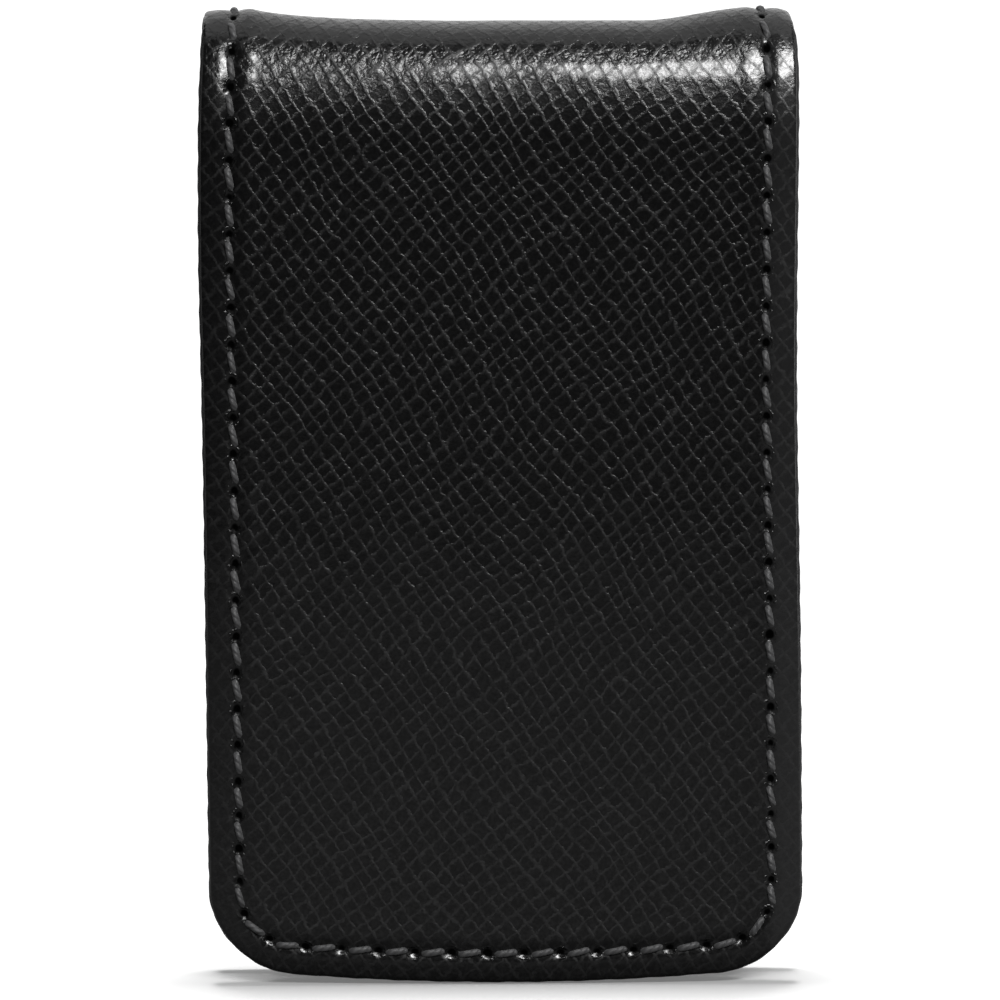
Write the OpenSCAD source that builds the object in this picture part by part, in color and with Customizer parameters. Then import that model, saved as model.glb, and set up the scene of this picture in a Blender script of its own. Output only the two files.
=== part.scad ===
// Folded leather money clip with magnets in both legs.
// It stands on its open end: X runs across the width, the front leg faces -Y, the fold is on top (+Z).
// One leather strip is bent over the top and down the back. The bend is cut into three sectors, so that
// the clip can unfold from the crown outwards, the same on both sides. Each hinge line lies on the outer
// skin, where two sectors or a sector and a leg meet.

/* [Overall] */
// Width across both side edges
clip_w = 43; // [32:0.5:60]
// Height from the open end to the top of the fold
clip_h = 70; // [50:0.5:95]
// Radius of the two rounded corners at the open end of each leg
corner_r = 6; // [4:0.25:10]
// Gap between the two legs at the open end
tip_gap = 0.2; // [0.1:0.05:2]

/* [Fold] */
// Outer radius of the bend over the top
bend_r = 4; // [3:0.1:6]
// Outer radius of the flatter shoulder below the bend
shoulder_r = 15.8; // [12:0.2:30]
// Angle from the top of the bend to the start of the shoulder
bend_half_angle = 67.5; // [60:0.5:72]

/* [Layers] */
// Thickness of the outer leather
leather_t = 1.1; // [0.8:0.05:1.4]
// Thickness of the lining leather
lining_t = 0.8; // [0.6:0.05:1]
// Thickness of the edge paint
paint_t = 0.15; // [0.1:0.05:0.3]

/* [Stiffener board] */
// Thickness of the board in each leg
board_t = 1.5; // [1:0.1:2.5]
// Distance from the leg's edge to the board
board_inset = 4.4; // [4:0.1:7]
// Distance from the top of the fold down to the board
board_drop = 14; // [12:0.5:26]
// Radius of the board's corners
board_corner_r = 3; // [1:0.25:5]
// Clearance round the board in its pocket
board_fit = 0.1; // [0.05:0.05:0.3]

/* [Magnets] */
// Diameter of each disc magnet
magnet_d = 12; // [8:0.5:13]
// Thickness of each disc magnet
magnet_t = 1.4; // [0.9:0.1:1.5]
// Clearance round each magnet in its bore
magnet_fit = 0.1; // [0.05:0.05:0.3]
// Distance of each magnet from the centre line
magnet_x = 9; // [7:0.5:10]
// Height of the magnets above the open end
magnet_z = 14; // [12:0.5:30]

/* [Seam] */
// Distance from the edge to the line of stitches
seam_margin = 2.3; // [1.9:0.1:2.8]
// Distance from one stitch to the next
stitch_pitch = 2.65; // [2:0.05:4]
// Length of thread that shows in each stitch
stitch_len = 1.9; // [1.2:0.05:1.95]
// Width of the thread
thread_w = 0.5; // [0.3:0.05:0.7]
// Thickness of the pressed thread
thread_t = 0.25; // [0.2:0.05:0.4]
// Width of the groove that the stitches lie in
groove_w = 0.9; // [0.7:0.05:1.1]
// Depth of the groove
groove_d = 0.3; // [0.25:0.05:0.45]

/* [Hidden] */
$fn = 96;

half_w = clip_w / 2;
skin_t = leather_t + lining_t;        // both leathers, sewn together round the edge
leg_t = skin_t + board_t;             // the leg where the board lies between them
board_top = clip_h - board_drop;
clear = 1;                            // how far a cutting shape runs past what it cuts

// The bend: three equal sectors about one centre. Angles are measured from straight up towards +Y.
bend_z = clip_h - bend_r;
sector_angle = 2 * bend_half_angle / 3;
SECTORS = [["fore", -sector_angle], ["crown", 0], ["rear", sector_angle]];

// The shoulder is tangent to the bend. The straight leg is tangent to the shoulder, and leans inwards
// until the two legs are tip_gap apart at the open end.
shoulder_y = (bend_r - shoulder_r) * sin(bend_half_angle);
shoulder_z = bend_z + (bend_r - shoulder_r) * cos(bend_half_angle);
tip_dy = tip_gap / 2 - shoulder_y;
lean = atan2(shoulder_z, tip_dy) - acos((shoulder_r - leg_t) / norm([tip_dy, shoulder_z]));
leg_top_y = shoulder_y + shoulder_r * cos(lean);
leg_top_z = shoulder_z - shoulder_r * sin(lean);

// The seam runs down one side of a leg, round both corners and up the other side.
seam_x = half_w - seam_margin;
seam_r = corner_r - seam_margin;
seam_top = bend_z + bend_r * cos(bend_half_angle);
side_len = seam_top - corner_r;
turn_len = seam_r * PI / 2;
foot_len = clip_w - 2 * corner_r;
seam_len = 2 * side_len + 2 * turn_len + foot_len;
stitch_count = round(seam_len / stitch_pitch);

// A point of the seam as [x, z, direction in degrees], at the distance s from its start
function seam_point(s) =
    s > seam_len / 2 ? mirrored(seam_point(seam_len - s))
    : s < side_len ? [-seam_x, seam_top - s, 90]
    : s < side_len + turn_len ? turn_point((s - side_len) / seam_r * 180 / PI)
    : [s - side_len - turn_len + corner_r - half_w, seam_margin, 0];
function turn_point(a) =
    [corner_r - half_w - seam_r * cos(a), corner_r - seam_r * sin(a), a + 90];
function mirrored(p) = [-p.x, p.y, -p.z];

// A profile drawn as (Y, Z) becomes a bar along X; an outline drawn as (X, Z) becomes a bar along Y.
module along_x(width) {
    rotate([90, 0, 90]) linear_extrude(height = width, center = true) children();
}

module along_y() {
    rotate([90, 0, 0]) linear_extrude(height = 8 * (bend_r + leg_t), center = true) children();
}

// The part of a ring between two angles, as a profile
module ring_sector(r_out, r_in, from, to) {
    reach = 2 * r_out;
    middle = (from + to) / 2;
    intersection() {
        difference() {
            circle(r = r_out);
            circle(r = r_in);
        }
        polygon([
            [0, 0],
            reach * [sin(from), cos(from)],
            reach * [sin(middle), cos(middle)],
            reach * [sin(to), cos(to)]
        ]);
    }
}

// What lies between two depths below the outer skin, in the bend, about an angle
module bend_layer(d_top, d_bottom, middle, spread = sector_angle) {
    translate([0, bend_z])
        ring_sector(bend_r - d_top, bend_r - d_bottom, middle - spread / 2, middle + spread / 2);
}

// What lies between two depths below the outer skin, in the back leg with its shoulder
module leg_layer(d_top, d_bottom) {
    foot = leg_top_z / cos(lean) + clear;
    translate([shoulder_y, shoulder_z])
        ring_sector(shoulder_r - d_top, shoulder_r - d_bottom, bend_half_angle, 90 + lean);
    translate([leg_top_y, leg_top_z])
        rotate(-lean)
            translate([-d_bottom, -foot]) square([d_bottom - d_top, foot]);
}

// The outline of a leg, drawn in from its edge by an inset, with a radius at its lower corners
module leg_outline(inset) {
    r = corner_r - inset;
    half = half_w - inset;
    translate([-half, corner_r]) square([2 * half, clip_h]);
    translate([-half + r, inset]) square([2 * (half - r), corner_r]);
    for (side = [-1, 1]) translate([side * (half - r), corner_r]) circle(r = r);
}

// The board's outline, grown all round
module board_outline(grow) {
    r = board_corner_r + grow;
    half = half_w - board_inset + grow;
    low = board_inset - grow;
    high = board_top + grow;
    translate([-half + r, low]) square([2 * (half - r), high - low]);
    translate([-half, low + r]) square([2 * half, high - low - 2 * r]);
    for (side = [-1, 1], z = [low + r, high - r])
        translate([side * (half - r), z]) circle(r = r);
}

// One flat stitch, seen from outside, along X
module stitch_outline() {
    bar = stitch_len - thread_w;
    square([bar, thread_w], center = true);
    for (end = [-1, 1]) translate([end * bar / 2, 0]) circle(d = thread_w);
}

module seam_outline() {
    difference() {
        leg_outline(seam_margin - groove_w / 2);
        leg_outline(seam_margin + groove_w / 2);
    }
}

// Lays what is drawn for the back leg on either leg
module on_leg(leg) {
    mirror([0, leg == "front" ? 1 : 0, 0]) children();
}

// A shape on the back leg's outer skin, its Z axis pointing outwards
module on_skin(x, z) {
    translate([x, leg_top_y - tan(lean) * (leg_top_z - z), z]) rotate([-90 - lean, 0, 0]) children();
}

module leg_stitches(d_top, d_bottom) {
    pitch = seam_len / stitch_count;
    intersection() {
        along_x(clip_w) leg_layer(d_top, d_bottom);
        along_y() for (i = [0 : stitch_count - 1]) {
            p = seam_point((i + 0.5) * pitch);
            translate([p.x, p.y]) rotate(p.z) stitch_outline();
        }
    }
}

module bend_stitches(d_top, d_bottom, middle) {
    spread = stitch_len / bend_r * 180 / PI;
    for (side = [-1, 1])
        translate([side * seam_x, 0, 0])
            along_x(thread_w) bend_layer(d_top, d_bottom, middle, spread);
}

// Outer leather: the full strip, with a pressed groove for the stitches
module leg_leather(leg) {
    color("#1d1d1f") on_leg(leg) difference() {
        intersection() {
            along_x(clip_w) leg_layer(0, leather_t);
            along_y() leg_outline(paint_t);
        }
        intersection() {
            along_x(clip_w) leg_layer(-clear, groove_d);
            along_y() seam_outline();
        }
    }
}

module bend_leather(middle) {
    color("#1d1d1f") difference() {
        along_x(clip_w - 2 * paint_t) bend_layer(0, leather_t, middle);
        for (side = [-1, 1])
            translate([side * seam_x, 0, 0]) along_x(groove_w) bend_layer(-clear, groove_d, middle);
    }
}

// Lining: thin leather glued inside the strip. In each leg it is pressed over the board, like a shallow pan.
module leg_lining(leg) {
    pocket = leather_t + board_t;
    color("#2b2a2c") on_leg(leg) difference() {
        union() {
            intersection() {
                along_x(clip_w) leg_layer(leather_t, skin_t);
                along_y() leg_outline(paint_t);
            }
            intersection() {
                along_x(clip_w) leg_layer(leather_t, leg_t);
                along_y() board_outline(board_fit + lining_t);
            }
        }
        intersection() {
            along_x(clip_w) leg_layer(leather_t - clear, pocket);
            along_y() board_outline(board_fit);
        }
        intersection() {
            along_x(clip_w) leg_layer(skin_t - groove_d, leg_t + clear);
            along_y() seam_outline();
        }
    }
}

module bend_lining(middle) {
    color("#2b2a2c") difference() {
        along_x(clip_w - 2 * paint_t) bend_layer(leather_t, skin_t, middle);
        for (side = [-1, 1])
            translate([side * seam_x, 0, 0])
                along_x(groove_w) bend_layer(skin_t - groove_d, skin_t + clear, middle);
    }
}

// Stiffener board, with a through bore for each magnet
module stiffener_board(leg) {
    color("#8a7a5c") on_leg(leg) difference() {
        intersection() {
            along_x(clip_w) leg_layer(leather_t, leather_t + board_t);
            along_y() board_outline(0);
        }
        for (side = [-1, 1])
            on_skin(side * magnet_x, magnet_z)
                translate([0, 0, -leather_t - board_t - clear])
                    cylinder(d = magnet_d + 2 * magnet_fit, h = board_t + 2 * clear);
    }
}

// Disc magnet, lying on the lining, as close to the other leg's magnet as it can be
module magnet(leg, side) {
    color("#b9bcc0") on_leg(leg)
        on_skin(side * magnet_x, magnet_z)
            translate([0, 0, -leather_t - board_t]) cylinder(d = magnet_d, h = magnet_t);
}

// Needle thread: the stitches that show outside
module leg_needle_thread(leg) {
    color("#4a4a4d") on_leg(leg) leg_stitches(groove_d - thread_t, groove_d);
}

module bend_needle_thread(middle) {
    color("#4a4a4d") bend_stitches(groove_d - thread_t, groove_d, middle);
}

// Bobbin thread: the stitches that show on the lining
module leg_bobbin_thread(leg) {
    color("#4a4a4d") on_leg(leg) leg_stitches(skin_t - groove_d, skin_t - groove_d + thread_t);
}

module bend_bobbin_thread(middle) {
    color("#4a4a4d") bend_stitches(skin_t - groove_d, skin_t - groove_d + thread_t, middle);
}

// Edge paint: a thin coat on the cut edge of both leathers
module leg_edge_paint(leg) {
    color("#3a3a3c") on_leg(leg) intersection() {
        along_x(clip_w) leg_layer(0, skin_t);
        along_y() difference() {
            leg_outline(0);
            leg_outline(paint_t);
        }
    }
}

module bend_edge_paint(middle) {
    color("#3a3a3c") for (side = [-1, 1])
        translate([side * (half_w - paint_t / 2), 0, 0]) along_x(paint_t) bend_layer(0, skin_t, middle);
}

for (leg = ["front", "back"]) {
    leg_leather(leg);
    leg_lining(leg);
    stiffener_board(leg);
    magnet(leg, -1);
    magnet(leg, 1);
    leg_needle_thread(leg);
    leg_bobbin_thread(leg);
    leg_edge_paint(leg);
}
for (sector = SECTORS) {
    place = str("_fold_", sector[0]);
    bend_leather(sector[1]);
    bend_lining(sector[1]);
    bend_needle_thread(sector[1]);
    bend_bobbin_thread(sector[1]);
    bend_edge_paint(sector[1]);
}
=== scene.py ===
"""A folded leather money clip with magnets in both legs, standing on its open end.
Lengths are in millimetres."""

import math

import bpy
import numpy as np
from mathutils import Matrix, Vector


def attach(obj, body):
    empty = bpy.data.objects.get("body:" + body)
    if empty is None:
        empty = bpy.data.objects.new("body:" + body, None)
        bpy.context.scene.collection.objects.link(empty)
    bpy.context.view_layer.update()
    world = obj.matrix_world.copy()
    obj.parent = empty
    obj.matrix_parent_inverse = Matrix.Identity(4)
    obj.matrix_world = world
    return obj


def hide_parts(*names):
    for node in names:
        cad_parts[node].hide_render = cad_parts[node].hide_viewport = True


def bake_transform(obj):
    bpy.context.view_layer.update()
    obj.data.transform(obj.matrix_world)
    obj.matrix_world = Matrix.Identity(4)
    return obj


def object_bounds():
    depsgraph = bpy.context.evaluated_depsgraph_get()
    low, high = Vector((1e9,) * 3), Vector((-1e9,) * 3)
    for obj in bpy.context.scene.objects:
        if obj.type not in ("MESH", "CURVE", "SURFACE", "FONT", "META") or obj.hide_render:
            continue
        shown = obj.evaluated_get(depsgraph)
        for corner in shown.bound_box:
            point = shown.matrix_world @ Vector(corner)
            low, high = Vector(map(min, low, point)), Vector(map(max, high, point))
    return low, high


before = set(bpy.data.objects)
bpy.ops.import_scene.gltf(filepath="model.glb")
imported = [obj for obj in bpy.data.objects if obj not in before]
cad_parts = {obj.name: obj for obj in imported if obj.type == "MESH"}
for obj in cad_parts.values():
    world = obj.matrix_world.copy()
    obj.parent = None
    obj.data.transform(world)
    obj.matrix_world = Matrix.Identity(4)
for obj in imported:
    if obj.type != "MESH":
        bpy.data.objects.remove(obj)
cad_box = [list(corner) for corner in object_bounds()]
bpy.ops.object.select_all(action="DESELECT")


# ---------------------------------------------------------------------------------------------------------
# Outer leather: one strip of black calf leather, cross-hatch embossed and sealed with a satin top coat.
# It is cut 145 mm long, pulled over the bend and sewn all round, so that it rises in soft pillows beside
# the sunk seam, and its rim is rolled down by the edge iron.

# The strip's course, which the lining, both threads and the edge paint follow as well: a tight bend over the
# top of the clip, a flatter shoulder on each side, and two straight legs that lean in towards each other.
# Places on the strip are u, across it, and s, along it from the crown, + towards the back.
MM = 0.001
half_w = cad_box[1][0] / MM
clip_h = cad_box[1][2] / MM
corner_r = 6.0
bend_r = 4.0
shoulder_r = 15.8
bend_end = math.radians(67.5)
lean = math.radians(1.305744)
leather_t = 1.1
lining_t = 0.8
paint_t = 0.15
skin_t = leather_t + lining_t
bend_len = bend_r * bend_end
shoulder_len = shoulder_r * (math.pi / 2 + lean - bend_end)
bend_z = clip_h - bend_r
shoulder_y = (bend_r - shoulder_r) * math.sin(bend_end)
shoulder_z = bend_z + (bend_r - shoulder_r) * math.cos(bend_end)
leg_len = (shoulder_z - shoulder_r * math.sin(lean)) / math.cos(lean)
strip_half = bend_len + shoulder_len + leg_len
split = 2 * bend_len / 3     # from the crown to the middle of the sector next to it

# The line of stitches: down one side of a leg, round both corners and up the other side.
seam_margin = 2.3
stitch_pitch = 2.65
seam_r = corner_r - seam_margin
side_seam = strip_half - corner_r - bend_len
turn_seam = seam_r * math.pi / 2
foot_seam = 2 * (half_w - corner_r)
leg_seam_len = 2 * side_seam + 2 * turn_seam + foot_seam
leg_stitches = round(leg_seam_len / stitch_pitch)
pitch = leg_seam_len / leg_stitches


def smooth(x):
    """0 below 0, 1 above 1, and an even curve between them."""
    x = np.clip(x, 0, 1)
    return x * x * (3 - 2 * x)


def bump(x, middle, half):
    """1 at a middle, falling off evenly on both sides."""
    return np.exp(-(((x - middle) / half) ** 2))


def lay_on_clip(u, s, depth):
    """Where a point of the strip lies on the clip, at a depth below the outer skin, in metres."""
    run = np.abs(s)
    in_bend = run < bend_len
    angle = np.where(in_bend, run / bend_r, bend_end + (run - bend_len) / shoulder_r)
    angle = np.minimum(angle, math.pi / 2 + lean)
    reach = np.where(in_bend, bend_r, shoulder_r) - depth
    down = np.maximum(run - bend_len - shoulder_len, 0)
    y = np.where(in_bend, 0, shoulder_y) + reach * np.sin(angle) - down * math.sin(lean)
    z = np.where(in_bend, bend_z, shoulder_z) + reach * np.cos(angle) - down * math.cos(lean)
    return hand_made(u, s, np.where(s < 0, -y, y), z)


crown_reach = 6.5            # how far from the crown its dip runs out
ear_lift = 0.38              # how far the two ears of the crown stand up
crown_dip = 0.90             # how far the crown sinks between them
ear_droop = 0.16             # how far the right ear's tip hangs
crown_pull_left, crown_pull_right = 0.30, 0.40
waist_left, waist_right = -0.12, 0.26
side_lean = 0.18 / 36        # how far the sides lean over to the right, for each millimetre down
foot_bow = 0.0027            # how far the foot hangs, for each square millimetre from its middle


def hand_made(u, s, y, z):
    """The clip as it came off the bench: a crown that dips between its two ears, sides that wander a little,
    and a foot that bows down in the middle."""
    run = np.abs(s)
    left, right = half_w + u, half_w - u
    near_crown = 1 - smooth(run / crown_reach)
    dip = crown_dip * (1 - np.exp(-np.maximum(left - 3.5, 0) / 4.6)) * smooth((right - 2.9) / 8.3)
    droop = ear_droop * smooth((1.1 - right) / 1.1)
    z = z + near_crown * (ear_lift - dip - droop)
    pull_left = crown_pull_left * bump(run, 0, 7) + waist_left * bump(run, 20, 9)
    pull_right = crown_pull_right * bump(run, 0, 3.2) + waist_right * bump(run, 28, 15)
    pull = np.where(u > 0, pull_right, pull_left)
    x = u - np.sign(u) * smooth((np.abs(u) - 8) / 13) * pull + side_lean * (run - 36)
    z = z + foot_bow * u * u * smooth((run - strip_half + 16) / 16)
    return np.stack([x, y, z], axis=-1) * MM


def edge_distance(u, s):
    """Distance of a point of the flat strip from the strip's outline, its lower corners square."""
    return np.minimum(half_w - np.abs(u), strip_half - np.abs(s))


def round_corners(u, s):
    """Turns the square lower corners of the flat strip into round ones. Each line that runs at one distance
    from the edge keeps that distance round the corner."""
    side, foot = half_w - np.abs(u), strip_half - np.abs(s)
    margin = np.minimum(side, foot)
    ring = np.maximum(corner_r - margin, 1e-9)
    share = np.where(side <= foot, (corner_r - foot) / (2 * ring), 1 - (corner_r - side) / (2 * ring))
    turn = np.clip(share, 0, 1) * math.pi / 2
    in_corner = (side < corner_r) & (foot < corner_r)
    side = np.where(in_corner, corner_r - ring * np.cos(turn), side)
    foot = np.where(in_corner, corner_r - ring * np.sin(turn), foot)
    return np.sign(u) * (half_w - side), np.sign(s) * (strip_half - foot), turn


def seam_place(u, s):
    """How far along the seam a point lies, in stitches from the first needle hole below the bend, and its
    distance inwards from the seam."""
    side, foot = half_w - np.abs(u), strip_half - np.abs(s)
    run = np.abs(s)
    turn = round_corners(u, s)[2]
    below = np.where(run < bend_len, (run - bend_len) / split, (run - bend_len) / pitch)
    corner = (side_seam + seam_r * turn) / pitch
    along_foot = (side_seam + turn_seam + half_w - corner_r - np.abs(u)) / pitch
    stitches = np.where(foot > corner_r, below, np.where(side < corner_r, corner, along_foot))
    return stitches, edge_distance(u, s) - seam_margin


fine_margin = 4.35           # how far in from the edge the mesh lines of the rim and the seam reach
thin_row = 0.015             # the first row of faces at each split
edge_lines = [paint_t, paint_t + 0.03, 0.24, 0.36, 0.52, 0.75, 1.0, 1.3]
edge_lines += [seam_margin + 0.125 * step for step in range(-6, 7)]
edge_lines += [3.3, 3.65, 4.05]


def across_lines(step):
    """Lines across the strip, close at the rim and at the seam, and a step apart in the middle."""
    inner = half_w - fine_margin
    left = [d - half_w for d in edge_lines]
    right = [half_w - d for d in reversed(edge_lines)]
    return np.concatenate([left, np.linspace(-inner, inner, 1 + round(2 * inner / step)), right])


def along_lines(start, end, step):
    """Lines along the strip between two places. The foot of a leg gets the rim's own lines, and a thin first
    row at each split makes the shading run on from piece to piece."""
    low, high = sorted((abs(start), abs(end)))
    if high < strip_half:
        rows = np.linspace(low, high, 1 + round((high - low) / step))
        rows = np.concatenate([[low, low + thin_row], rows[1:-1], [high - thin_row, high]])
    else:
        body = np.arange(low, strip_half - fine_margin, step)
        foot = [strip_half - d for d in [fine_margin, *reversed(edge_lines)]]
        rows = np.concatenate([[low, low + thin_row], body[1:], foot])
    return np.sort(rows * (-1 if start + end < 0 else 1))


def points_of(piece):
    """The points of a piece's mesh, one to a row."""
    points = np.zeros(len(piece.data.vertices) * 3, np.float32)
    piece.data.vertices.foreach_get("co", points)
    return points.reshape(-1, 3).astype(float)


def move_points(piece, points):
    piece.data.vertices.foreach_set("co", points.astype(np.float32).ravel())
    piece.data.update()


def face_outwards(piece):
    """Selects one piece alone and turns all its faces outwards."""
    bpy.ops.object.select_all(action="DESELECT")
    piece.select_set(True)
    bpy.context.view_layer.objects.active = piece
    bpy.ops.object.mode_set(mode="EDIT")
    bpy.ops.mesh.select_all(action="SELECT")
    bpy.ops.mesh.normals_make_consistent(inside=False)
    bpy.ops.object.mode_set(mode="OBJECT")


def flat_strip(name, columns, rows):
    """A flat strip two layers thick, its upper skin at height 0 and its lower one at -1. Returns the object
    with u and s of each point and which of them are on the lower skin."""
    bpy.ops.mesh.primitive_grid_add(x_subdivisions=len(columns) - 1, y_subdivisions=len(rows) - 1, size=1)
    strip = bpy.context.object
    strip.name = strip.data.name = name
    place = points_of(strip)
    across = np.rint((place[:, 0] + 0.5) * (len(columns) - 1)).astype(int)
    along = np.rint((place[:, 1] + 0.5) * (len(rows) - 1)).astype(int)
    place[:, 0], place[:, 1], place[:, 2] = columns[across], rows[along], 0
    move_points(strip, place)
    bpy.ops.object.mode_set(mode="EDIT")
    bpy.ops.mesh.select_all(action="SELECT")
    bpy.ops.mesh.extrude_region_move(TRANSFORM_OT_translate={"value": (0, 0, -1)})
    bpy.ops.object.mode_set(mode="OBJECT")
    face_outwards(strip)
    place = points_of(strip)
    return strip, place[:, 0], place[:, 1], place[:, 2] < -0.5


def fill_uv(piece, name, across, along):
    """Names a piece's UV map and fills it with a place for each point."""
    corners = np.zeros(len(piece.data.loops), np.int32)
    piece.data.loops.foreach_get("vertex_index", corners)
    uv = np.stack([across[corners], along[corners]], axis=-1)
    piece.data.uv_layers[0].name = name
    piece.data.uv_layers[0].data.foreach_set("uv", uv.astype(np.float32).ravel())


PATTERN_SPAN = 150           # the flat pattern's width in the UV map


def mark_pattern(strip, u, s, seam_u, seam_s):
    """Keeps the flat pattern's place on the mesh, as its UV map, and its place along the seam."""
    fill_uv(strip, "pattern", u / PATTERN_SPAN + 0.5, s / PATTERN_SPAN + 0.5)
    stitches, inwards = seam_place(seam_u, seam_s)
    seam = np.stack([stitches, inwards, np.zeros_like(inwards)], axis=-1).astype(np.float32)
    strip.data.attributes.new("seam", "FLOAT_VECTOR", "POINT").data.foreach_set("vector", seam.ravel())


def settle(strip, points):
    """Gives a strip its final points, with smooth shading on all but its sharp edges."""
    move_points(strip, points)
    face_outwards(strip)
    bpy.ops.object.shade_smooth_by_angle(angle=sharp_edge)


sharp_edge = math.radians(50)
rim_roll = 0.32              # radius of the rolled rim
rim_slant, slant_width = 0.17, 1.9
groove_depth, groove_half = 0.15, 0.55
hole_depth, hole_along, hole_across = 0.22, 0.34, 0.30
inner_pillow, outer_pillow = 0.06, 0.02


def leather_relief(u, s):
    """Height of the finished skin above the flat one."""
    margin = edge_distance(u, s)
    stitches, inwards = seam_place(u, s)
    from_hole = np.abs(stitches - np.rint(stitches)) * pitch
    roll = np.clip(rim_roll - (margin - paint_t), 0, rim_roll)
    rolled = rim_roll - np.sqrt(rim_roll**2 - roll**2)
    groove = groove_depth * bump(inwards, 0, groove_half)
    hole = hole_depth * bump(from_hole, 0, hole_along) * bump(inwards, 0, hole_across)
    pillow = inner_pillow * bump(inwards, 1.25, 0.55) + outer_pillow * bump(inwards, -1.1, 0.5)
    pillow = pillow * (0.75 + 0.25 * np.cos(2 * math.pi * stitches))
    slant = rim_slant * np.clip(1 - margin / slant_width, 0, 1)
    swell = 0.007 * np.sin(0.41 * u + 0.23 * s) + 0.005 * np.sin(0.9 * u - 0.52 * s + 1.3)
    swell = swell + 0.004 * np.sin(1.3 * s + 0.6 * u + 0.4)
    return pillow + swell * smooth((inwards - 0.8) / 2) - slant - rolled - groove - hole


# The strip is made in four pieces, each named here with where it runs from and to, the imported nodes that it
# covers, and the two bodies and the angle of the hinge line that it bends over.
COURSES = {
    "front": (-strip_half, -split),
    "crown_front": (-split, 0.0),
    "crown_rear": (0.0, split),
    "back": (split, strip_half),
}
COVERED = {
    "front": ("front", "fold_fore"),
    "crown_front": (),
    "crown_rear": ("fold_crown",),
    "back": ("back", "fold_rear"),
}
BENDS = {
    "front": ("fold_fore", "front_leg", -bend_end),
    "crown_front": ("fold_crown", "fold_fore", -bend_end / 3),
    "crown_rear": ("fold_crown", "fold_rear", bend_end / 3),
    "back": ("fold_rear", "back_leg", bend_end),
}


def bend_with_fold(piece, course, before, after):
    """Bakes a strip piece's transform into its mesh. The hinge line from BENDS and the places before and
    after it are worked out, but the piece is not bent over it.
    """
    body_a, body_b, angle = BENDS[course]
    line = Vector((0, bend_r * math.sin(angle), bend_z + bend_r * math.cos(angle)))
    way = Vector((0, math.cos(angle), -math.sin(angle))) * (1 if angle > 0 else -1)
    (line - before * way) * MM
    (line + after * way) * MM
    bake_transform(piece)


leather_pieces = []
leg_step, crown_step = pitch / 9, 0.13
for course, (start, end) in COURSES.items():
    rows = along_lines(start, end, crown_step if course.startswith("crown") else leg_step)
    strip, u, s, lower = flat_strip("embossed_leather_" + course, across_lines(leg_step), rows)
    depth = np.where(lower, leather_t, -leather_relief(u, s))
    round_u, round_s, _ = round_corners(u, s)
    mark_pattern(strip, round_u, round_s, u, s)
    settle(strip, lay_on_clip(round_u, round_s, depth))
    bend_with_fold(strip, course, before=1.05, after=1.1)
    leather_pieces.append(strip)
for piece, course in zip(leather_pieces, COURSES):
    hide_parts(*["outer_leather_" + place for place in COVERED[course]])


class Wire:
    """A shader socket that can be used in sums. It adds the maths nodes that the sum needs."""

    def __init__(self, tree, socket=None):
        self.tree = tree
        self.socket = socket

    def node(self, kind, settings, values, out=0):
        """A node of a kind, with its settings, then the values or links of its sockets."""
        made = self.tree.nodes.new(kind)
        for name, value in settings.items():
            setattr(made, name, value)
        for name, value in values.items():
            if isinstance(value, Wire):
                self.tree.links.new(value.socket, made.inputs[name])
            else:
                made.inputs[name].default_value = value
        return Wire(self.tree, made.outputs[out])

    def maths(self, operation, *values):
        return self.node("ShaderNodeMath", {"operation": operation}, dict(enumerate(values)))

    def __add__(self, other):
        return self.maths("ADD", self, other)

    def __sub__(self, other):
        return self.maths("SUBTRACT", self, other)

    def __rsub__(self, other):
        return self.maths("SUBTRACT", other, self)

    def __mul__(self, other):
        return self.maths("MULTIPLY", self, other)

    def __truediv__(self, other):
        return self.maths("DIVIDE", self, other)

    def __mod__(self, other):
        return self.maths("FLOORED_MODULO", self, other)

    def __pow__(self, other):
        return self.maths("POWER", self, other)

    def __abs__(self):
        return self.maths("ABSOLUTE", self)

    __radd__ = __add__
    __rmul__ = __mul__

    def fade(self, low, high):
        """0 up to low and 1 from high, or the other way round, with an even curve between them."""
        ends = {"From Min": low, "From Max": high}
        return self.node("ShaderNodeMapRange", {"interpolation_type": "SMOOTHSTEP"}, {"Value": self, **ends})

    def larger(self, other):
        return self.maths("MAXIMUM", self, other)

    def axis(self, letter):
        return self.node("ShaderNodeSeparateXYZ", {}, {"Vector": self}, letter)

    def noise(self, place, scale, detail=2.0):
        """Even noise from 0 to 1 at so many patches to the unit of place."""
        values = {"Vector": place, "Scale": scale, "Detail": detail}
        return self.node("ShaderNodeTexNoise", {"noise_dimensions": "3D"}, values, "Fac")

    def mix(self, shade_a, shade_b):
        """A colour between two, by how large this value is."""
        settings = {"data_type": "RGBA", "clamp_factor": True}
        return self.node("ShaderNodeMix", settings, {0: self, 6: shade_a, 7: shade_b}, 2)


def new_finish(name):
    """A new material: its Principled shader, and a wire to start sums from."""
    finish = bpy.data.materials.new(name)
    finish.use_nodes = True
    tree = finish.node_tree
    return finish, tree.nodes["Principled BSDF"], Wire(tree)


def connect(wire, shader, name):
    wire.tree.links.new(wire.socket, shader.inputs[name])


def raise_surface(wire, height, strength=1.0):
    """A Bump node for a height in millimetres."""
    return wire.node("ShaderNodeBump", {}, {"Strength": strength, "Distance": MM, "Height": height}, "Normal")


def flat_pattern(wire):
    """The place on the flat pattern, in millimetres from its middle."""
    place = wire.node("ShaderNodeUVMap", {"uv_map": "pattern"}, {}, "UV")
    span = {0: place, 1: (PATTERN_SPAN,) * 3, 2: (-PATTERN_SPAN / 2,) * 3}
    return wire.node("ShaderNodeVectorMath", {"operation": "MULTIPLY_ADD"}, span)


def dress(pieces, finish):
    """Gives pieces a finish in place of any they have."""
    for piece in pieces:
        piece.data.materials.clear()
        piece.data.materials.append(finish)


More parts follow.
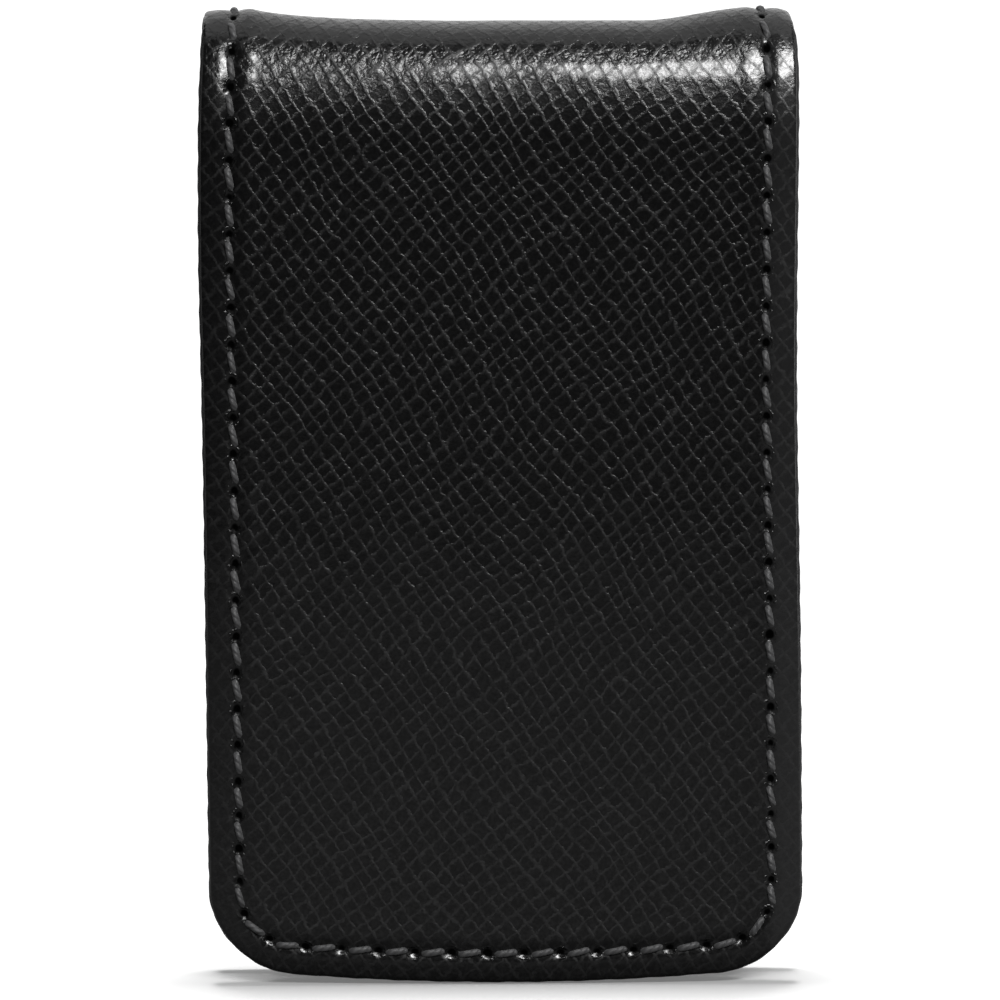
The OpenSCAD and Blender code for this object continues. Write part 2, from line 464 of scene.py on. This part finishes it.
leather_finish, leather, wire = new_finish("embossed_black_leather")
leather.inputs["IOR"].default_value = 1.5
leather.inputs["Coat Roughness"].default_value = 0.10
leather.inputs["Specular IOR Level"].default_value = 0.4
flat = flat_pattern(wire)
flat_u, flat_s = flat.axis("X"), flat.axis("Y")


def hatch(slope, spacing, start):
    """Distance in mm from the nearest line of one family of embossed lines. They run at a slope, drift
    together and apart, and waver a little."""
    angle = math.radians(slope)
    across = flat_u * -math.sin(angle) + flat_s * math.cos(angle)
    along = flat_u * math.cos(angle) + flat_s * math.sin(angle)
    drift_place = wire.node("ShaderNodeCombineXYZ", {}, {0: across * 0.45, 1: along * 0.09, 2: start})
    spread = (wire.noise(flat, start * 0.07, 1) - 0.5) * 2.0
    waver = (wire.noise(flat, start, 1) - 0.5) * 0.44 + (wire.noise(flat, 3.6, 2) - 0.5) * 0.30
    drift = spread + (wire.noise(drift_place, 1, 1) - 0.5) * 0.9 + waver
    return abs(((across + drift) / spacing) % 1 - 0.5) * spacing


falling = hatch(-55.5, 1.02, 1.1)
rising = hatch(42.0, 0.96, 1.3)
line_half = 0.17
falling_worn = wire.noise(flat, 1.3, 3).fade(0.3, 0.7) * 0.6 + 0.52
rising_worn = wire.noise(flat, 1.7, 3).fade(0.3, 0.7) * 0.6 + 0.42
falling_line = (1 - falling.fade(0.0, line_half)) * falling_worn
rising_line = (1 - rising.fade(0.0, line_half)) * rising_worn
slack = (1 - falling.fade(0.0, 0.46)) + (1 - rising.fade(0.0, 0.44))
grit = wire.noise(flat, 5.5, 3).fade(0.3, 0.7)
ridge = falling_line.larger(rising_line) * (grit * 0.6 + 0.6)
wrinkle = wire.noise(flat, 2.6, 2)
fuzz = wire.noise(flat, 4.5, 3).fade(0.35, 0.75)
pores = wire.noise(flat, 11.0, 2)
mottle = wire.noise(flat, 0.9, 2)

# Needle holes: painted dark, as painted shade in the holes, with a lip pushed up round some of them.
seam = wire.node("ShaderNodeAttribute", {"attribute_name": "seam"}, {}, "Vector")
seam_along, seam_across = seam.axis("X"), seam.axis("Y")
from_hole = abs((seam_along + 0.5) % 1 - 0.5) * pitch
hole_uneven = (wire.noise(flat, 0.55, 2) - 0.5) * 1.3
hole_reach = ((from_hole / 0.31) ** 2 + (seam_across / 0.26) ** 2) ** 0.5 + hole_uneven
hole = 1 - hole_reach.fade(0.55, 1.35)
lip = (1 - abs(hole_reach - 1.7).fade(0.0, 0.5)) * wire.noise(flat, 2.6, 1).fade(0.45, 0.62)

# The embossing is pressed flat under the stitches, calmer in the margin, and ironed down towards the foot.
# The bend creases the skin, and the right rim is painted a little lighter, as painted light from the right.
pressed = 1 - abs(seam_across).fade(0.3, 0.75)
margin_calm = seam_across.fade(-0.2, 1.7) * 0.65 + 0.35
ironed = 1 - abs(flat_s).fade(30, strip_half - 4) * 0.42
emboss = (ridge * 0.026 + slack * 0.006) * margin_calm * ironed * (1 - pressed * 0.7)
bent = 1 - abs(flat_s).fade(4, 8)
surface = emboss + wrinkle * (bent * 0.056 + 0.017) + pores * 0.003 + lip * 0.06
connect(raise_surface(wire, surface), leather, "Normal")
# Painted light: the tone of the right rim is lifted, standing in for light from the right side.
right_rim_painted_light = flat_u.fade(18.6, 19.6)
# Tone: lighter on the ridges and with random fuzz, and lighter towards the foot as painted light bounced from
# the table; the right rim adds painted light.
ridge_fuzz_and_painted_light = ridge * margin_calm * (1.80 - ironed) + fuzz * (0.80 - ironed * 0.58) + right_rim_painted_light * 0.7
tone = ridge_fuzz_and_painted_light.mix((0.0022, 0.0022, 0.0023, 1), (0.0155, 0.0155, 0.0158, 1))
# Painted shade: the base colour in the needle holes is near black.
connect((hole * 0.95).mix(tone, (0.0005, 0.0005, 0.0005, 1)), leather, "Base Color")
connect(0.155 + pores * 0.08 + mottle * 0.05 + ridge * 0.22, leather, "Roughness")
connect((mottle * 0.2 + 0.25) * (1 - hole) * (1 - ridge * 0.8), leather, "Coat Weight")
# Painted shade: a black diffuse shader fills the needle holes.
hole_painted_shade = wire.node("ShaderNodeBsdfDiffuse", {}, {"Color": (0.001, 0.001, 0.001, 1)})
pierced_painted_shade = wire.node("ShaderNodeMixShader", {}, {0: hole, 1: Wire(wire.tree, leather.outputs[0]), 2: hole_painted_shade})
wire.tree.links.new(pierced_painted_shade.socket, wire.tree.nodes["Material Output"].inputs["Surface"])
dress(leather_pieces, leather_finish)


# ---------------------------------------------------------------------------------------------------------
# Lining: one strip of thin smooth leather, glued inside the outer one and sewn to it. In each leg it is
# pressed over the stiffener board, like a shallow pan, which makes the flat pad that grips the notes.
board_t = 1.5
board_inset = 4.4
board_drop = 14.0
leg_top_z = shoulder_z - shoulder_r * math.sin(lean)
board_top_run = bend_len + shoulder_len + (leg_top_z - clip_h + board_drop) / math.cos(lean)
pan_wall = 1.1               # how wide the slope round the pan is
pan_inset, pan_back_inset = 3.5, 3.9
lining_groove, lining_hole, lining_roll = 0.22, 0.12, 0.25


def pan_depth(u, s, inset):
    """How far the lining is pressed out over the board, from 0 in the margins to 1 on the board."""
    to_board = np.minimum(edge_distance(u, s) - inset, np.abs(s) - board_top_run + board_inset - inset)
    return smooth(to_board / pan_wall)


lining_pieces = []
for course, (start, end) in COURSES.items():
    rows = along_lines(start, end, 0.2 if course.startswith("crown") else 0.5)
    strip, u, s, lower = flat_strip("smooth_lining_" + course, across_lines(0.8), rows)
    stitches, inwards = seam_place(u, s)
    from_hole = np.abs(stitches - np.rint(stitches)) * pitch
    groove = lining_groove * bump(inwards, 0, 0.5)
    hole = lining_hole * bump(from_hole, 0, 0.4) * bump(inwards, 0, 0.3)
    rolled = lining_roll * smooth((0.55 - edge_distance(u, s)) / 0.4)
    pad = skin_t + board_t * pan_depth(u, s, pan_inset) - groove - hole - rolled
    depth = np.where(lower, pad, leather_t + board_t * pan_depth(u, s, pan_back_inset))
    round_u, round_s, _ = round_corners(u, s)
    mark_pattern(strip, round_u, round_s, u, s)
    settle(strip, lay_on_clip(round_u, round_s, depth))
    bend_with_fold(strip, course, before=0.4, after=0.75)
    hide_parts(*["lining_" + place for place in COVERED[course]])
    lining_pieces.append(strip)

lining_finish, lining, wire = new_finish("smooth_black_lining")
flat = flat_pattern(wire)
to_edge = {"feature": "DISTANCE_TO_EDGE"}
grain = wire.node("ShaderNodeTexVoronoi", to_edge, {"Vector": flat, "Scale": 2.4}, "Distance")
hair = wire.noise(flat, 5.5, 3)
cloud = wire.noise(flat, 0.35, 3)
connect(raise_surface(wire, grain.fade(0.0, 0.25) * 0.02 + hair * 0.012), lining, "Normal")
lining_tone = (cloud * 0.6 + hair * 0.4).mix((0.018, 0.0175, 0.0175, 1), (0.030, 0.0295, 0.0295, 1))
connect(lining_tone, lining, "Base Color")
connect(0.48 + hair * 0.16 - grain.fade(0.0, 0.3) * 0.06, lining, "Roughness")
dress(lining_pieces, lining_finish)


# ---------------------------------------------------------------------------------------------------------
# Needle and bobbin thread: one lockstitch seam of waxed dark grey two-ply polyester, a little plump, 0.5 mm
# wide. Each stitch comes out of one needle hole and goes down the next, turned a few degrees out of line.
thread_w, thread_h = 0.50, 0.38
stitch_len = 2.1
stitch_arch = 0.62           # how far the middle of a stitch stands above its ends
stitch_sink = 0.66           # how deep its ends lie in the needle holes
stitch_end_w = 0.72          # width of its ends, for 1 in the middle
stitch_turn = math.radians(-10)
dice = np.random.default_rng(7)

lying = (0, math.pi / 2, 0)
bpy.ops.mesh.primitive_cylinder_add(vertices=8, radius=0.5, depth=1, end_fill_type="TRIFAN", rotation=lying)
stitch = bpy.context.object
stitch.name = "stitch"
bpy.ops.object.transform_apply(location=False, rotation=True, scale=False)
stitch_rings = 9
bpy.ops.object.mode_set(mode="EDIT")
for ring in range(1, stitch_rings):
    bpy.ops.mesh.select_all(action="SELECT")
    bpy.ops.mesh.bisect(plane_co=(ring / stitch_rings - 0.5, 0, 0), plane_no=(1, 0, 0))
bpy.ops.object.mode_set(mode="OBJECT")
bar = points_of(stitch)
fill_uv(stitch, "twist", bar[:, 0] + 0.5, np.arctan2(bar[:, 1], bar[:, 2]) / (2 * math.pi) + 0.5)


def leg_seam(at):
    """Place (u, s) and direction of the seam of one leg, so many stitches from its first hole."""
    run = at * pitch
    if run > leg_seam_len / 2:
        u, s, way_u, way_s = leg_seam(leg_stitches - at)
        return -u, s, way_u, -way_s
    seam_u = half_w - seam_margin
    if run < side_seam:
        return -seam_u, bend_len + run, 0.0, 1.0
    if run < side_seam + turn_seam:
        turn = (run - side_seam) / seam_r
        u = -(half_w - corner_r) - seam_r * math.cos(turn)
        return u, strip_half - corner_r + seam_r * math.sin(turn), math.sin(turn), math.cos(turn)
    return run - side_seam - turn_seam - half_w + corner_r, strip_half - seam_margin, 1.0, 0.0


def join_all(parts, name):
    """Joins parts into one piece of that name."""
    bpy.ops.object.select_all(action="DESELECT")
    for part in parts:
        part.select_set(True)
    bpy.context.view_layer.objects.active = parts[0]
    if len(parts) > 1:
        bpy.ops.object.join()
    whole = bpy.context.object
    whole.name = whole.data.name = name
    return whole


def sew(name, places, outside):
    """Lays a copy of the stitch at each place and joins them into one object. A place is u, s and the way
    the seam runs there."""
    copies = []
    for u, s, way_u, way_s in places:
        copy = stitch.copy()
        copy.data = stitch.data.copy()
        bpy.context.collection.objects.link(copy)
        turn = stitch_turn + dice.normal(0, 0.03)
        length, plump = stitch_len + dice.normal(0, 0.035), 1 + dice.normal(0, 0.05)
        arch = 1 - (2 * np.abs(bar[:, 0])) ** 3.2
        taper = stitch_end_w + (1 - stitch_end_w) * np.sqrt(np.clip(arch, 0, 1))
        along, across = bar[:, 0] * length, bar[:, 1] * thread_w * plump * taper
        height = bar[:, 2] * thread_h * plump * taper + stitch_arch * arch - stitch_sink
        side_u, side_s = (way_s, -way_u)
        new_u = u + way_u * along * math.cos(turn) + side_u * (along * math.sin(turn) + across)
        new_s = s + way_s * along * math.cos(turn) + side_s * (along * math.sin(turn) + across)
        depth = -height if outside else skin_t + height
        move_points(copy, lay_on_clip(new_u, new_s, depth))
        copies.append(copy)
    thread = join_all(copies, name)
    face_outwards(thread)
    bpy.ops.object.shade_smooth()
    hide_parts(name.replace("stitches", "thread"))
    return thread


thread_pieces = []
for side, outside in (("needle", True), ("bobbin", False)):
    for leg, way in (("front", -1), ("back", 1)):
        seam_places = []
        for count in range(leg_stitches):
            u, s, way_u, way_s = leg_seam(count + 0.5)
            seam_places.append((u, way * s, way_u, way * way_s))
        thread = sew(f"{side}_stitches_{leg}", seam_places, outside)
        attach(thread, leg + "_leg")
        thread_pieces.append(thread)
    for sector, s in (("fold_fore", -split), ("fold_crown", 0.0), ("fold_rear", split)):
        bend_places = [(way * (half_w - seam_margin), s, 0.0, -float(way)) for way in (-1, 1)]
        thread = sew(f"{side}_stitches_{sector}", bend_places, outside)
        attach(thread, sector)
        thread_pieces.append(thread)
bpy.data.objects.remove(stitch)

thread_finish, thread_shader, wire = new_finish("waxed_grey_thread")
thread_shader.inputs["Sheen Weight"].default_value = 0.15
twist = wire.node("ShaderNodeUVMap", {"uv_map": "twist"}, {}, "UV")
twist_along, twist_round = twist.axis("X"), twist.axis("Y")
ply = abs((twist_along * 3.2 + twist_round * 2) % 1 - 0.5) * 2
place = wire.node("ShaderNodeTexCoord", {}, {}, "Object")
fibre = abs((twist_along * 22 + twist_round * 14 + wire.noise(place, 2500, 1)) % 1 - 0.5) * 2
connect(raise_surface(wire, ply.fade(0.0, 0.7) * 0.035 + fibre * 0.008), thread_shader, "Normal")
# The tone is darker in the grooves between the plies and lighter on their crests: painted shade and painted
# highlight along the twist; the fibre part differs at random.
thread_tone_with_painted_ply_shade = (ply * 0.6 + fibre * 0.4).mix((0.028, 0.028, 0.029, 1), (0.078, 0.078, 0.080, 1))
connect(thread_tone_with_painted_ply_shade, thread_shader, "Base Color")
connect(0.36 + fibre * 0.2, thread_shader, "Roughness")
dress(thread_pieces, thread_finish)


# ---------------------------------------------------------------------------------------------------------
# Edge paint: the cut edge of both leathers is sanded flush and coated with several layers of black paint,
# ironed smooth between coats, which leaves one rounded bead all round the strip.
paint_from, paint_to = 0.50, skin_t - 0.14
bead_back = 0.3              # how far in from the edge the bead's hidden side lies


def bead_place(along, across):
    """A point of the bead: along the outline in mm, and across it from 0, at the outer face, to 1, at the
    lining."""
    swing = across * math.pi
    wobble = 0.02 * np.sin(1.9 * along) + 0.015 * np.sin(4.3 * along + 1)
    margin = paint_t + 0.07 - (paint_t + 0.04 + wobble) * np.sin(swing) ** 0.6
    depth = paint_from + (paint_to - paint_from) * (1 - np.cos(swing)) / 2
    return margin, depth


def outline_point(run, margin):
    """A point of the strip's outline below a place on the left side, drawn in by a margin, along that
    side, round the corner and along the foot to the middle."""
    side = strip_half - corner_r
    turn = np.clip((run - side) / corner_r, 0, math.pi / 2)
    ring = corner_r - margin
    foot = np.maximum(run - side - corner_r * math.pi / 2, 0)
    u = -(half_w - corner_r) - ring * np.cos(turn) + foot
    s = np.minimum(run, side) + ring * np.sin(turn)
    return u, s


paint_pieces = []
outline_half = strip_half - corner_r + corner_r * math.pi / 2 + half_w - corner_r
for course, (start, end) in COURSES.items():
    low, high = sorted((abs(start), abs(end)))
    if high == strip_half:
        rows = np.append(np.arange(low, 2 * outline_half - low, 0.3), 2 * outline_half - low)
        sides = (0,)
    else:
        rows = np.linspace(low, high, 25)
        sides = (-1, 1)
    beads = []
    for side in sides:
        bead, across, along, lower = flat_strip("paint_bead_" + course, np.linspace(0, 1, 10), rows)
        margin, depth = bead_place(along, across)
        margin = np.where(lower, bead_back, margin)
        past = along > outline_half
        u, s = outline_point(np.where(past, 2 * outline_half - along, along), margin)
        u = np.where(past, -u, u) * (-1 if side == 1 else 1)
        s = -s if start + end < 0 else s
        move_points(bead, lay_on_clip(u, s, depth))
        beads.append(bead)
    bead = join_all(beads, "paint_bead_" + course)
    face_outwards(bead)
    bpy.ops.object.shade_smooth_by_angle(angle=sharp_edge)
    bend_with_fold(bead, course, before=0.75, after=0.75)
    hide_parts(*["edge_paint_" + place for place in COVERED[course]])
    paint_pieces.append(bead)

paint_finish, paint, wire = new_finish("satin_black_edge_paint")
paint.inputs["Coat Roughness"].default_value = 0.2
place = wire.node("ShaderNodeTexCoord", {}, {}, "Object")
ripple = wire.noise(place, 900, 3)
dust = wire.noise(place, 3800, 2)
connect(raise_surface(wire, ripple * 0.05 + dust * 0.006), paint, "Normal")
connect(ripple.mix((0.020, 0.020, 0.021, 1), (0.045, 0.045, 0.046, 1)), paint, "Base Color")
connect(0.34 + ripple * 0.2, paint, "Roughness")
connect(ripple * 0.4, paint, "Coat Weight")
dress(paint_pieces, paint_finish)


# ---------------------------------------------------------------------------------------------------------
# Stiffener boards: one in each leg, of dense brown fibre board, die cut with two bores for the magnets and
# glued between the leathers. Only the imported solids' finish is set here.
board_finish, board, wire = new_finish("brown_fibre_board")
place = wire.node("ShaderNodeTexCoord", {}, {}, "Object")
stretched = wire.node("ShaderNodeMapping", {}, {"Vector": place, "Scale": (1.0, 1.0, 0.35)})
felt = wire.noise(stretched, 2600, 5)
speck = wire.noise(place, 5200, 1).fade(0.62, 0.72)
connect(raise_surface(wire, felt * 0.05), board, "Normal")
shade = felt.mix((0.20, 0.145, 0.085, 1), (0.36, 0.28, 0.18, 1))
connect((speck * 0.6).mix(shade, (0.09, 0.065, 0.04, 1)), board, "Base Color")
connect(0.72 + felt * 0.2, board, "Roughness")
dress([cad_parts["stiffener_board_" + leg] for leg in ("front", "back")], board_finish)


# ---------------------------------------------------------------------------------------------------------
# Magnets: four nickel-plated discs, 12 by 1.4 mm, pressed into the bores of the boards in pairs that pull
# on each other through both linings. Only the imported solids' finish is set here.
magnet_finish, magnet, wire = new_finish("nickel_plate")
place = wire.node("ShaderNodeTexCoord", {}, {}, "Object")
smear = wire.noise(place, 700, 4)
drawn_out = {"Vector": place, "Rotation": (0, 0.5, 0), "Scale": (1, 1, 14)}
scratch_place = wire.node("ShaderNodeMapping", {}, drawn_out)
scratch = wire.noise(scratch_place, 900, 2)
connect(raise_surface(wire, scratch * 0.006), magnet, "Normal")
connect(smear.mix((0.58, 0.57, 0.54, 1), (0.70, 0.69, 0.66, 1)), magnet, "Base Color")
connect(0.16 + smear * 0.14 + scratch * 0.06, magnet, "Roughness")
magnet.inputs["Metallic"].default_value = 1.0
for leg in ("front", "back"):
    dress([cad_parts[f"magnet_{leg}_{side}"] for side in ("left", "right")], magnet_finish)


# ---------------------------------------------------------------------------------------------------------
# Studio: a round white table under the clip, in a room that looks white and gives hardly any light. The key
# light is high in front, a little to the right, with wide soft lamps overhead and behind and a weak panel at
# each side. One more lamp, straight above, lights only the table.
bpy.ops.mesh.primitive_circle_add(vertices=96, radius=0.2, fill_type="NGON", location=(0, 0, 0))
table = bpy.context.object
table.name = table.data.name = "table_top"
table_finish, table_shader, wire = new_finish("white_table")
table_shader.inputs["Base Color"].default_value = (0.36, 0.36, 0.36, 1)
table_shader.inputs["Roughness"].default_value = 0.9
table_shader.inputs["Emission Color"].default_value = (1, 1, 1, 1)
table_shader.inputs["Emission Strength"].default_value = 0.17
felt_side = wire.node("ShaderNodeBsdfDiffuse", {}, {"Color": (0.055, 0.055, 0.055, 1)})
seen = wire.node("ShaderNodeLightPath", {}, {}, "Is Camera Ray")
white_side = Wire(wire.tree, table_shader.outputs[0])
both = wire.node("ShaderNodeMixShader", {}, {0: seen, 1: felt_side, 2: white_side})
wire.tree.links.new(both.socket, wire.tree.nodes["Material Output"].inputs["Surface"])
dress([table], table_finish)

world = bpy.data.worlds.new("white_room")
bpy.context.scene.world = world
world.use_nodes = True
seen = world.node_tree.nodes.new("ShaderNodeLightPath").outputs["Is Camera Ray"]
room = world.node_tree.nodes["Background"]
dim = world.node_tree.nodes.new("ShaderNodeBackground")
dim.inputs["Color"].default_value = (0.03, 0.03, 0.03, 1)
room.inputs["Color"].default_value = (1, 1, 1, 1)
room.inputs["Strength"].default_value = 1.2
choice = world.node_tree.nodes.new("ShaderNodeMixShader")
world.node_tree.links.new(seen, choice.inputs[0])
world.node_tree.links.new(dim.outputs[0], choice.inputs[1])
world.node_tree.links.new(room.outputs[0], choice.inputs[2])
world.node_tree.links.new(choice.outputs[0], world.node_tree.nodes["World Output"].inputs["Surface"])

clip_middle = Vector((0, 0, 35)) * MM


def soft_light(name, azimuth, elevation, distance, width, height, watts):
    """A soft box round the clip: azimuth 0 is in front, 90 at the right, 180 behind."""
    around, above = math.radians(azimuth), math.radians(elevation)
    way = Vector((math.sin(around) * math.cos(above), -math.cos(around) * math.cos(above), math.sin(above)))
    lamp_data = bpy.data.lights.new(name, "AREA")
    lamp_data.shape = "RECTANGLE"
    lamp_data.size, lamp_data.size_y, lamp_data.energy = width, height, watts
    lamp = bpy.data.objects.new(name, lamp_data)
    bpy.context.collection.objects.link(lamp)
    lamp.location = clip_middle + way * distance
    lamp.rotation_euler = (-way).to_track_quat("-Z", "Y").to_euler()
    lamp.visible_camera = False
    return lamp


soft_light("key_light", azimuth=21, elevation=34.8, distance=0.9, width=0.54, height=0.14, watts=8.1)
soft_light("top_light", azimuth=0, elevation=95, distance=0.8, width=1.1, height=0.8, watts=2.2)
soft_light("back_light", azimuth=180, elevation=35, distance=0.9, width=1.2, height=0.9, watts=3.0)
soft_light("right_panel", azimuth=98, elevation=8, distance=0.8, width=0.5, height=0.7, watts=1.2)
soft_light("left_panel", azimuth=-98, elevation=8, distance=0.8, width=0.5, height=0.7, watts=0.4)
table_light = soft_light("table_light", azimuth=180, elevation=86.9, distance=0.9, width=0.25, height=0.18,
                         watts=20.5)
lit_by_it = bpy.data.collections.new("table_only")
lit_by_it.objects.link(table)
table_light.light_linking.receiver_collection = lit_by_it


# ---------------------------------------------------------------------------------------------------------
# Camera: straight in front of the clip, a little above it.
camera_data = bpy.data.cameras.new("camera")
camera = bpy.data.objects.new("camera", camera_data)
bpy.context.collection.objects.link(camera)
bpy.context.scene.camera = camera
camera_distance = 0.48
camera_height = math.radians(6.0)
camera_roll = math.radians(-0.2)
camera_data.sensor_width = 36
camera_data.lens = 239
aim = Vector((-0.00015, 0, 0.03490))
camera.location = aim + camera_distance * Vector((0, -math.cos(camera_height), math.sin(camera_height)))
turned = (aim - camera.location).to_track_quat("-Z", "Y").to_matrix().to_4x4()
turned = turned @ Matrix.Rotation(camera_roll, 4, "Z")
camera.rotation_euler = turned.to_euler()
camera_data.clip_start = 0.01

bpy.context.scene.view_settings.view_transform = "Standard"
